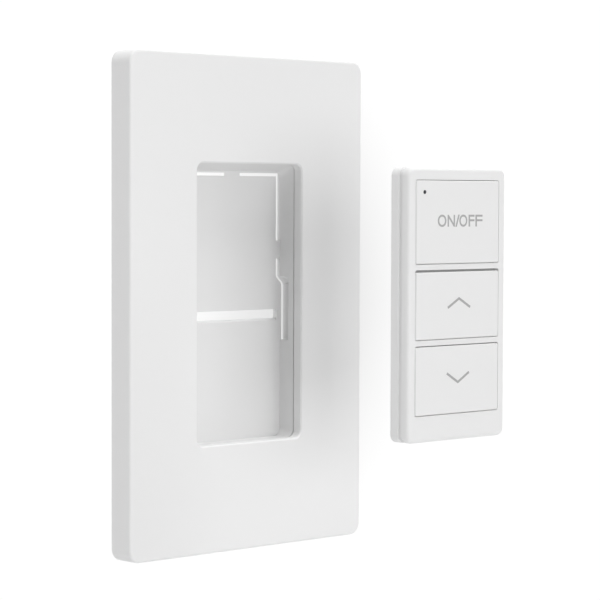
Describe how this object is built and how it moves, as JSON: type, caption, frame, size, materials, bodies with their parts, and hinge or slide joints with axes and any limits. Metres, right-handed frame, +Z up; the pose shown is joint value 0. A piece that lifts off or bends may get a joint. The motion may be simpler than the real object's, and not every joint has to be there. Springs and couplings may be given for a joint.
{
  "type": "wireless remote wall switch",
  "caption": "Flat screwless wall plate with a recessed cradle, and a slim hand remote with on/off, up and down buttons pulled straight out in front of it.",
  "frame": {"origin": "midway between the two wall screw holes, on the wall surface", "axes": "+Z up along the plate's height, +Y into the wall, the front faces -Y"},
  "size_m": [0.0742, 0.0769, 0.118],
  "materials": {
    "plate_white": "satin",
    "cradle_white": "satin",
    "keeper_steel": "zinc plated",
    "housing_white": "satin",
    "button_white": "satin",
    "smoked_plastic": "smooth",
    "mat_rubber": "matte",
    "spring_steel": "bright",
    "board_green": "solder mask",
    "chip_black": "moulded",
    "can_steel": "bright",
    "led_white": "smooth",
    "magnet_nickel": "nickel plated"
  },
  "bodies": {
    "base": {"cover_plate": "plate_white", "cradle": "cradle_white", "upper_keeper": "keeper_steel", "lower_keeper": "keeper_steel"},
    "remote": {"front_housing": "housing_white", "rear_housing": "housing_white", "keypad_mat": "mat_rubber", "circuit_board": "board_green", "dome_switches": "spring_steel", "control_chip": "chip_black", "crystal": "can_steel", "indicator_led": "led_white", "coin_cell": "can_steel", "positive_contact": "spring_steel", "negative_contact": "spring_steel", "upper_magnet": "magnet_nickel", "lower_magnet": "magnet_nickel"},
    "on_off_key": {"on_off_button": "button_white", "light_pipe": "smoked_plastic"},
    "up_key": {"up_button": "button_white"},
    "down_key": {"down_button": "button_white"},
    "door": {"battery_door": "housing_white"}
  },
  "joints": [
    {"name": "remote_slide", "type": "slide", "parent": "base", "child": "remote", "axis": [0, 1, 0], "range_m": [0, 0.06824]},
    {"name": "on_off_press", "type": "slide", "parent": "remote", "child": "on_off_key", "axis": [0, 1, 0], "range_m": [0, 0.00025], "stiffness_N_per_m": 400},
    {"name": "up_press", "type": "slide", "parent": "remote", "child": "up_key", "axis": [0, 1, 0], "range_m": [0, 0.00025], "stiffness_N_per_m": 400},
    {"name": "down_press", "type": "slide", "parent": "remote", "child": "down_key", "axis": [0, 1, 0], "range_m": [0, 0.00025], "stiffness_N_per_m": 400},
    {"name": "door_turn", "type": "hinge", "parent": "remote", "child": "door", "pos_m": [0, -0.06834, -0.00583], "axis": [0, 1, 0], "range_deg": [0, 25]}
  ]
}
